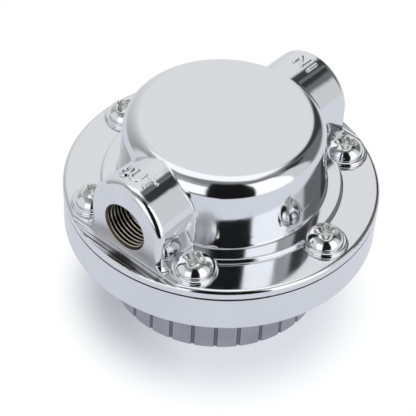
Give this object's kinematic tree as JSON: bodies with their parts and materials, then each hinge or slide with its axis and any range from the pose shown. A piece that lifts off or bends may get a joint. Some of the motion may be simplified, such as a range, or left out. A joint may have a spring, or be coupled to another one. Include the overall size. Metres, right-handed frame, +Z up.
{
  "type": "fuel pressure regulator",
  "caption": "Round dial-type fuel pressure regulator: chrome cap with opposed threaded ports, screwed flange, plain lower band and a ribbed pressure dial underneath.",
  "frame": {"origin": "middle of the dial's foot ring, on the surface the regulator rests on", "axes": "+Z up the regulator's axis from dial to cap, +X out of the inlet port, -X out of the outlet port"},
  "size_m": [0.08, 0.08, 0.0529],
  "materials": {
    "chrome_plate": "polished chrome plate over a zinc die casting",
    "satin_plate": "bright plate, slightly softer than the upper housing",
    "dial_metal": "satin grey cast metal",
    "zinc_screw": "bright zinc-plated steel",
    "diaphragm_rubber": "matt fabric-backed rubber",
    "plain_steel": "plain machined steel",
    "valve_brass": "turned brass",
    "seal_rubber": "matt black sealing rubber",
    "spring_steel": "bright spring wire",
    "cup_plastic": "natural moulded acetal"
  },
  "bodies": {
    "housing": {"upper_housing": "chrome_plate", "lower_housing": "satin_plate", "flange_screws": "zinc_screw", "diaphragm": "diaphragm_rubber", "valve_seat": "valve_brass", "seat_ring": "seal_rubber", "thrust_washer": "cup_plastic", "stop_pin": "plain_steel", "detent_ball": "plain_steel", "detent_spring": "spring_steel", "main_spring": "spring_steel", "valve_spring": "spring_steel"},
    "dial": {"dial_knob": "dial_metal", "lead_screw": "plain_steel", "knob_screw": "zinc_screw"},
    "cup": {"spring_cup": "cup_plastic"},
    "diaphragm_centre": {"diaphragm_washer": "plain_steel", "spring_plate": "plain_steel", "diaphragm_rivet": "valve_brass"},
    "valve": {"valve_poppet": "valve_brass", "valve_face": "seal_rubber"}
  },
  "joints": [
    {"name": "dial_turn", "type": "hinge", "parent": "housing", "child": "dial", "pos_m": [0, 0, 0], "axis": [0, 0, 1], "range_deg": [0, 300]},
    {"name": "cup_lift", "type": "slide", "parent": "housing", "child": "cup", "axis": [0, 0, 1], "range_m": [0, 0.004], "deforming": ["main_spring"]},
    {"name": "diaphragm_stroke", "type": "slide", "parent": "housing", "child": "diaphragm_centre", "axis": [0, 0, 1], "range_m": [-0.00078, 0], "stiffness_N_per_m": 5000, "springref_m": 0.001, "deforming": ["diaphragm"]},
    {"name": "valve_stroke", "type": "slide", "parent": "housing", "child": "valve", "axis": [0, 0, 1], "range_m": [-0.00078, 0], "deforming": ["valve_spring"]}
  ],
  "couplings": [
    {"joint": "cup_lift", "follows": "dial_turn", "m_per_rad": 0.0007639},
    {"joint": "valve_stroke", "follows": "diaphragm_stroke", "ratio": 1}
  ]
}
